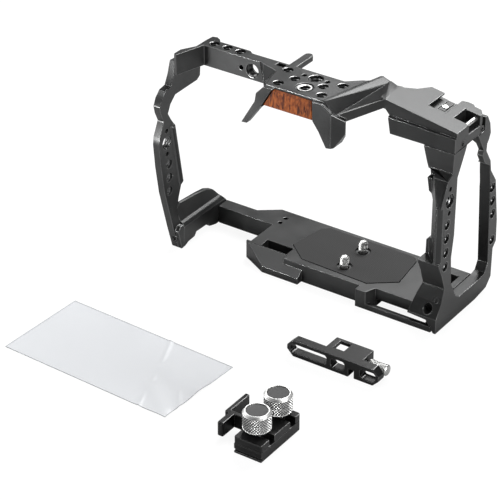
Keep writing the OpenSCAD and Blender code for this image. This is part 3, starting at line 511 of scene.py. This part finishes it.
black_oxide = blasted("black_oxide", (0.01, 0.01, 0.01), (0.016, 0.016, 0.016), 0.35, 0.5, 0.2)
# A lighter copy of the black oxide for the broken edges: a painted highlight.
oxide_painted_highlight = blasted("black_oxide_painted_highlight", (0.05, 0.05, 0.05), (0.08, 0.08, 0.08), 0.3, 0.8, 0.1)
stainless = blasted("stainless_steel", (0.5, 0.5, 0.49), (0.62, 0.62, 0.61), 0.36, 1.0, 0.15)
# A lighter copy of the stainless steel for the broken edges: a painted highlight.
stainless_painted_highlight = blasted("stainless_painted_highlight", (0.72, 0.72, 0.71), (0.82, 0.82, 0.81), 0.2, 1.0, 0.1)
SCREW_EDGE = 0.25 * MM
FINE_EDGE = 0.2 * MM
STEEL_EDGE = 0.3 * MM
LEAF_EDGE = 0.12 * MM
for node in ("foot_screws", "left_arm_screws", "top_end_screws", "sill_screws"):
    machined(node, "cage", black_oxide, oxide_painted_highlight, SCREW_EDGE)
insert = machined("thread_insert", "cage", stainless, stainless_painted_highlight, FINE_EDGE)
INSERT_FACE_R = 4.1 * MM
INSERT_FACE_DEPTH = 0.5 * MM
insert.data.materials.append(black_oxide)
middle, low, high = place_of("thread_insert")
for face in insert.data.polygons:
    outside = (face.center - middle).xy.length > INSERT_FACE_R
    if outside or face.center.z < high.z - INSERT_FACE_DEPTH:
        face.material_index = 2
machined("strap_bar", "cage", stainless, stainless_painted_highlight, STEEL_EDGE)

leaf = machined("shoe_spring", "shoe_leaf", black_oxide, oxide_painted_highlight, LEAF_EDGE)
BUTTON_DEPTH = 0.3 * MM
press = next(joint for joint in frame["joints"] if joint["name"] == "shoe_leaf_press")
platform_up = -Vector(press["axis"])
top = max(vertex.co.dot(platform_up) for vertex in leaf.data.vertices)
leaf.data.materials.append(stainless)
for face in leaf.data.polygons:
    if face.center.dot(platform_up) > top - BUTTON_DEPTH:
        face.material_index = 2

# The wood insert on the block's front: an oiled reddish hardwood, let into the metal, with its dark
# grain running across.
wood = bpy.data.materials.new("oiled_wood")
wood.use_nodes = True
tree = wood.node_tree
surface = tree.nodes["Principled BSDF"]
place = tree.nodes.new("ShaderNodeTexCoord")
stretch = tree.nodes.new("ShaderNodeMapping")
stretch.inputs["Scale"].default_value = (620, 900, 170)
stretch.inputs["Rotation"].default_value = (0, math.radians(14), 0)
fibres = tree.nodes.new("ShaderNodeTexNoise")
fibres.inputs["Scale"].default_value = 1
fibres.inputs["Detail"].default_value = 8
fibres.inputs["Distortion"].default_value = 1.4
figure = tree.nodes.new("ShaderNodeValToRGB")
figure.color_ramp.elements[0].position = 0.34
figure.color_ramp.elements[0].color = (0.045, 0.008, 0.002, 1)
figure.color_ramp.elements[1].position = 0.66
figure.color_ramp.elements[1].color = (0.34, 0.088, 0.013, 1)
streak = figure.color_ramp.elements.new(0.5)
streak.color = (0.19, 0.042, 0.006, 1)
tree.links.new(place.outputs["Object"], stretch.inputs["Vector"])
tree.links.new(stretch.outputs["Vector"], fibres.inputs["Vector"])
tree.links.new(fibres.outputs["Fac"], figure.inputs["Fac"])
tree.links.new(figure.outputs["Color"], surface.inputs["Base Color"])
surface.inputs["Roughness"].default_value = 0.5
surface.inputs["Specular IOR Level"].default_value = 0.2
pores = tree.nodes.new("ShaderNodeBump")
pores.inputs["Strength"].default_value = 0.35
pores.inputs["Distance"].default_value = 0.1 * MM
tree.links.new(fibres.outputs["Fac"], pores.inputs["Height"])
tree.links.new(pores.outputs["Normal"], surface.inputs["Normal"])
WOOD_EDGE = 0.75 * MM
machined("wood_insert", "cage", wood, wood, WOOD_EDGE, segments=1)

# The rubber pad that the camera stands on: near black, with a fine woven pattern pressed into it.
rubber = bpy.data.materials.new("woven_rubber")
rubber.use_nodes = True
tree = rubber.node_tree
surface = tree.nodes["Principled BSDF"]
surface.inputs["Roughness"].default_value = 0.75
place = tree.nodes.new("ShaderNodeTexCoord")
weave = tree.nodes.new("ShaderNodeMath")
weave.operation = "MULTIPLY"
for i, direction in enumerate(("X", "Y")):
    ribs = tree.nodes.new("ShaderNodeTexWave")
    ribs.bands_direction = direction
    ribs.inputs["Scale"].default_value = 260
    tree.links.new(place.outputs["Object"], ribs.inputs["Vector"])
    tree.links.new(ribs.outputs["Fac"], weave.inputs[i])
tones = tree.nodes.new("ShaderNodeValToRGB")
tones.color_ramp.elements[0].color = (0.005, 0.005, 0.005, 1)
tones.color_ramp.elements[1].color = (0.022, 0.022, 0.022, 1)
tree.links.new(weave.outputs[0], tones.inputs["Fac"])
tree.links.new(tones.outputs["Color"], surface.inputs["Base Color"])
dents = tree.nodes.new("ShaderNodeBump")
dents.inputs["Strength"].default_value = 0.5
dents.inputs["Distance"].default_value = 0.15 * MM
tree.links.new(weave.outputs[0], dents.inputs["Height"])
tree.links.new(dents.outputs["Normal"], surface.inputs["Normal"])
PAD_EDGE = 0.3 * MM
machined("base_pad", "cage", rubber, rubber, PAD_EDGE)
machined("thumb_pad", "pad", rubber, rubber, PAD_EDGE)

# The two camera screws: bright stainless studs with a full thread and a coned tip, on a head that
# stays captive under the plate.
AT_AXIS = 0.001 * MM


def turned(name, profile, steps, loop=False):
    """A body of revolution about Z from its radii and heights, closed at the axis or as a ring."""
    bpy.ops.mesh.primitive_circle_add(vertices=len(profile))
    piece = bpy.context.object
    piece.name = name
    for vertex, (radius, height) in zip(piece.data.vertices, reversed(profile)):
        vertex.co = (radius, 0, height)
        vertex.select = False
    if not loop:
        for line in piece.data.edges:
            line.select = set(line.vertices) == {0, len(profile) - 1}
        bpy.ops.object.mode_set(mode="EDIT")
        bpy.ops.mesh.delete(type="EDGE")
        bpy.ops.object.mode_set(mode="OBJECT")
    lathe = piece.modifiers.new("lathe", "SCREW")
    lathe.steps = steps
    lathe.render_steps = steps
    lathe.use_merge_vertices = True
    lathe.merge_threshold = AT_AXIS
    bpy.ops.object.modifier_apply(modifier=lathe.name)
    bpy.ops.object.mode_set(mode="EDIT")
    bpy.ops.mesh.select_all(action="SELECT")
    bpy.ops.mesh.normals_make_consistent(inside=False)
    bpy.ops.object.mode_set(mode="OBJECT")
    return piece


SCREW_R = QUARTER_R * MM
CORE_SHARE = 0.82
SCREW_PITCH = THREAD_PITCH[QUARTER_R]
SCREW_HEAD_H = 4 * MM
SCREW_HEAD_BREAK = 0.4 * MM
SCREW_STEPS = 48
SCREW_SMOOTH = math.radians(40)
STUD_FOOT = 13.8 * MM
TIP = 0.9 * MM
THREAD_START = 0.3 * TIP
THREAD_LOSS = 0.4 * TIP
for end in ("front", "rear"):
    node = "camera_screw_" + end
    middle, low, high = place_of(node)
    head_r = (high.x - low.x) / 2
    head_top = low.z + SCREW_HEAD_H
    core = CORE_SHARE * SCREW_R
    stud = turned(node + "_stud", [
        (0, low.z), (head_r - SCREW_HEAD_BREAK, low.z), (head_r, low.z + SCREW_HEAD_BREAK),
        (head_r, head_top), (core, head_top), (core, high.z - TIP), (core - TIP, high.z),
        (0, high.z),
    ], SCREW_STEPS)
    ridge = wound(core, SCREW_R, SCREW_PITCH, high.z - THREAD_LOSS - STUD_FOOT)
    ridge.data.transform(Matrix.Translation((0, 0, high.z - THREAD_START)))
    screw = joined([stud, ridge], node + "_threaded")
    screw.data.materials.append(stainless)
    screw.data.transform(Matrix.Translation((middle.x, middle.y, 0)))
    bpy.ops.object.shade_smooth_by_angle(angle=SCREW_SMOOTH)
    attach(screw, end + "_camera_screw")
    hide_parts(node)

# The two-knob cable clamp: black anodised blocks on steel studs, under bright knobs with a diamond
# knurl, chamfered rims and dark blasted caps.
black = blasted("black_anodised", (0.012, 0.012, 0.012), (0.018, 0.018, 0.018), 0.36, 0.6, 0.5)
# A lighter copy of the black anodising for the broken edges: a painted highlight.
black_painted_highlight = blasted("black_anodised_painted_highlight", (0.06, 0.06, 0.06), (0.1, 0.1, 0.1), 0.28, 0.8, 0.2)
cap_metal = blasted("cap_metal", (0.03, 0.03, 0.03), (0.055, 0.055, 0.055), 0.5, 0.5, 0.8)
SMALL_EDGE = 0.45 * MM
CLAMP_CORNER_R = 1.6
CORNER_REACH = 1
CORNER_HEIGHTS = (-1, 13)


def upright_corner(x, y):
    """The zone round an upright edge of the clamp and the edge's radius, in millimetres."""
    low, high = CORNER_HEIGHTS
    first = (x / MM - CORNER_REACH, y / MM - CORNER_REACH, low)
    last = (x / MM + CORNER_REACH, y / MM + CORNER_REACH, high)
    return first, last, CLAMP_CORNER_R


middle, low, high = place_of("clamp_block")
CLAMP_CORNERS = [
    upright_corner(x, y) for x, y in ((low.x, low.y), (high.x, low.y), (high.x, high.y))
]
HOLDER_CORNERS = CLAMP_CORNERS + [
    ((49, -205, 2), (55, -203, 14), 1.4), ((46, -169, 2), (50.5, -167, 14), 1.1),
]
machined("clamp_block", "clamp", black, black_painted_highlight, SMALL_EDGE, CLAMP_CORNERS)
machined("plug_holder", "holder", black, black_painted_highlight, SMALL_EDGE, HOLDER_CORNERS)
machined("knob_studs", "clamp", stainless, stainless_painted_highlight, STEEL_EDGE)

KNURL_STEPS = 6
KNURL_FLAT = 0.3
KNURL_SMOOTH = math.radians(9)
BAND_SLACK = 0.01 * MM


def knurled(name, radius, low, high, pitch, depth, below, above):
    """A turned body with a diamond knurl between two heights, and its profile below and above."""
    rows = KNURL_STEPS * round((high - low) / pitch)
    around = round(2 * math.pi * radius / pitch)
    band = [(radius, low + (high - low) * i / rows) for i in range(rows + 1)]
    piece = turned(name, below + band + above, KNURL_STEPS * around, loop=below[0][0] > 0)
    for vertex in piece.data.vertices:
        x, y, z = vertex.co
        if math.hypot(x, y) < radius - BAND_SLACK or not low < z < high:
            continue
        turns = math.atan2(y, x) / (2 * math.pi) * around
        rise = (z - low) / pitch
        waves = [abs(2 * ((turns + side * rise) % 1) - 1) for side in (1, -1)]
        sunk = depth * max(0, max(waves) - KNURL_FLAT) / (1 - KNURL_FLAT)
        vertex.co.x *= (radius - sunk) / radius
        vertex.co.y *= (radius - sunk) / radius
    return piece


KNURL_PITCH = 1.9 * MM
KNURL_DEPTH = 0.6 * MM
GROOVE_SHADE_SHARE = 0.5
knob_steel = blasted("knob_steel", (0.72, 0.72, 0.71), (0.84, 0.84, 0.83), 0.46, 1.0, 0.1)
# A dark metal for the faces deep in the knurl's grooves: painted shade.
knurl_painted_shade = blasted("knurl_painted_shade", (0.16, 0.16, 0.16), (0.24, 0.24, 0.24), 0.5, 0.9, 0.1)
FACING_UP = 0.9
RIM = 1.44 * MM
RIM_GAP = 0.4 * MM
RIM_FOOT_IN = 0.35 * MM
RIM_SHOULDER_IN = 0.45 * MM
RIM_SHOULDER = 0.85 * RIM
FOOT_IN = 0.3 * MM
FOOT_H = 0.8 * RIM
STUD_BORE_R = 2.55 * MM
CAP_MOUTH_SHARE = 0.8
CAP_WALL_SHARE = 0.78
CAP_CONE = 0.2 * MM
CAP_SEAT = 1.2 * MM
CAP_EDGE = 0.15 * MM
for side in ("front", "rear"):
    node = "knob_" + side
    machined(side + "_washer", "washer_" + side, black_oxide, oxide_painted_highlight, FINE_EDGE)
    middle, low, high = place_of(node)
    radius = (high.x - low.x) / 2
    wall = CAP_WALL_SHARE * radius
    foot = [(STUD_BORE_R, low.z), (radius - RIM, low.z), (radius - FOOT_IN, low.z + FOOT_H)]
    rim = [
        (radius - RIM_FOOT_IN, high.z - RIM), (radius - RIM_SHOULDER_IN, high.z - RIM_SHOULDER),
        (radius - RIM, high.z), (CAP_MOUTH_SHARE * radius, high.z), (wall, high.z - CAP_CONE),
        (wall, high.z - CAP_SEAT), (STUD_BORE_R, high.z - CAP_SEAT),
    ]
    band = (low.z + RIM, high.z - RIM - RIM_GAP)
    knob = knurled(node + "_knurled", radius, *band, KNURL_PITCH, KNURL_DEPTH, foot, rim)
    knob.data.materials.append(knob_steel)
    knob.data.materials.append(knurl_painted_shade)
    deepest = radius - KNURL_DEPTH
    shaded_groove_top = radius - GROOVE_SHADE_SHARE * KNURL_DEPTH
    # The faces deep in the grooves take the dark metal: painted shade.
    for face in knob.data.polygons:
        if deepest <= face.center.xy.length < shaded_groove_top and abs(face.normal.z) < FACING_UP:
            face.material_index = 1
    knob.data.transform(Matrix.Translation((middle.x, middle.y, 0)))
    bpy.ops.object.shade_smooth_by_angle(angle=KNURL_SMOOTH)
    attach(knob, side + "_knob")
    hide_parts(node)
    machined(node + "_cap", side + "_knob", cap_metal, cap_metal, CAP_EDGE)

# The long cable bracket: a black anodised bar with chamfered ends, and its thumb screw with a fine
# knurl beside a plain collar and a neck.
machined("bracket_frame", "bracket", black, black_painted_highlight, SMALL_EDGE)
THUMB_PITCH = 1 * MM
THUMB_DEPTH = 0.22 * MM
THUMB_STUD_R = 2 * MM
THUMB_TIP = 0.3 * MM
HEAD_L = 13 * MM
HEAD_BREAK = 0.4 * MM
HEAD_END_BREAK = 0.6 * MM
COLLAR = 1.6 * MM
NECK_IN = 0.6 * MM
middle, low, high = place_of("thumb_screw")
radius = (high.z - low.z) / 2
head_x = high.x - HEAD_L
neck_r = radius - NECK_IN
stud_and_collar = [
    (0, low.x), (THUMB_STUD_R - THUMB_TIP, low.x), (THUMB_STUD_R, low.x + THUMB_TIP),
    (THUMB_STUD_R, head_x), (radius - HEAD_BREAK, head_x), (radius, head_x + HEAD_BREAK),
    (radius, head_x + COLLAR), (neck_r, head_x + 1.2 * COLLAR), (neck_r, head_x + 1.8 * COLLAR),
]
end = [(radius, high.x - HEAD_END_BREAK), (radius - HEAD_END_BREAK, high.x), (0, high.x)]
band = (head_x + 2 * COLLAR, high.x - COLLAR)
thumb = knurled(
    "thumb_screw_knurled", radius, *band, THUMB_PITCH, THUMB_DEPTH, stud_and_collar, end
)
thumb.data.materials.append(stainless)
lie_down = Matrix(((0, 0, 1, 0), (0, 1, 0, middle.y), (-1, 0, 0, middle.z), (0, 0, 0, 1)))
thumb.data.transform(lie_down)
bpy.ops.object.shade_smooth_by_angle(angle=KNURL_SMOOTH)
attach(thumb, "thumb")
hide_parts("thumb_screw")

# The screen film on its backing sheet: clear plastic, pale against the floor, that has buckled a
# little along a few soft creases near its right end.
def plastic(name, colour, rough, alpha):
    """A plain plastic of one colour, see-through where its alpha is below 1."""
    material = bpy.data.materials.new(name)
    material.use_nodes = True
    surface = material.node_tree.nodes["Principled BSDF"]
    surface.inputs["Base Color"].default_value = (*colour, 1)
    surface.inputs["Roughness"].default_value = rough
    surface.inputs["Alpha"].default_value = alpha
    return material


clear_film = plastic("clear_film", (0.6, 0.62, 0.65), 0.3, 0.4)
cut_edge = plastic("cut_film_edge", (0.3, 0.32, 0.34), 0.5, 1)
FILM_SIZE = (132 * MM, 69 * MM)
FILM_STEP = 1 * MM
FILM_TURN = math.radians(-2.5)
FILM_T = 0.5 * MM
CREASES = [
    ((0.12, 0.5), (0.22, 0.1), 0.5, 1.4), ((0.22, 0.1), (0.34, -0.5), 0.45, 1.6),
    ((0.26, 0.1), (0.5, 0.0), 1.2, 8.0), ((0.3, -0.2), (0.46, -0.42), 0.9, 6.0),
    ((0.42, -0.1), (0.5, -0.3), 0.6, 1.6),
]


def buckled(spot):
    """How far the creases lift the film at a spot. Each crease has two ends in shares of the film's
    size, and its height and width in millimetres."""
    lift = 0
    for start, end, height, width in CREASES:
        a = Vector((start[0] * FILM_SIZE[0], start[1] * FILM_SIZE[1]))
        b = Vector((end[0] * FILM_SIZE[0], end[1] * FILM_SIZE[1]))
        share = max(0, min(1, (spot - a).dot(b - a) / (b - a).length_squared))
        away = (spot - a - (b - a) * share).length
        lift = max(lift, height * MM * math.exp(-((away / (width * MM)) ** 2)))
    return lift


middle, low, high = place_of("screen_film")
columns, rows = (round(length / FILM_STEP) for length in FILM_SIZE)
bpy.ops.mesh.primitive_grid_add(x_subdivisions=columns, y_subdivisions=rows, size=1)
film = bpy.context.object
film.name = "film_and_backing"
for vertex in film.data.vertices:
    spot = Vector((vertex.co.x * FILM_SIZE[0], vertex.co.y * FILM_SIZE[1]))
    vertex.co = (spot.x, spot.y, high.z + buckled(spot))
film.data.materials.append(clear_film)
film.data.materials.append(cut_edge)
thick = film.modifiers.new("two_sheets", "SOLIDIFY")
thick.thickness = FILM_T
thick.material_offset_rim = 1
bpy.ops.object.modifier_apply(modifier=thick.name)
turn = Matrix.Rotation(FILM_TURN, 4, "Z")
film.data.transform(Matrix.Translation((middle.x, middle.y, 0)) @ turn)
bpy.ops.object.shade_smooth_by_angle(angle=SMOOTH)
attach(film, "film")
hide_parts("screen_film")
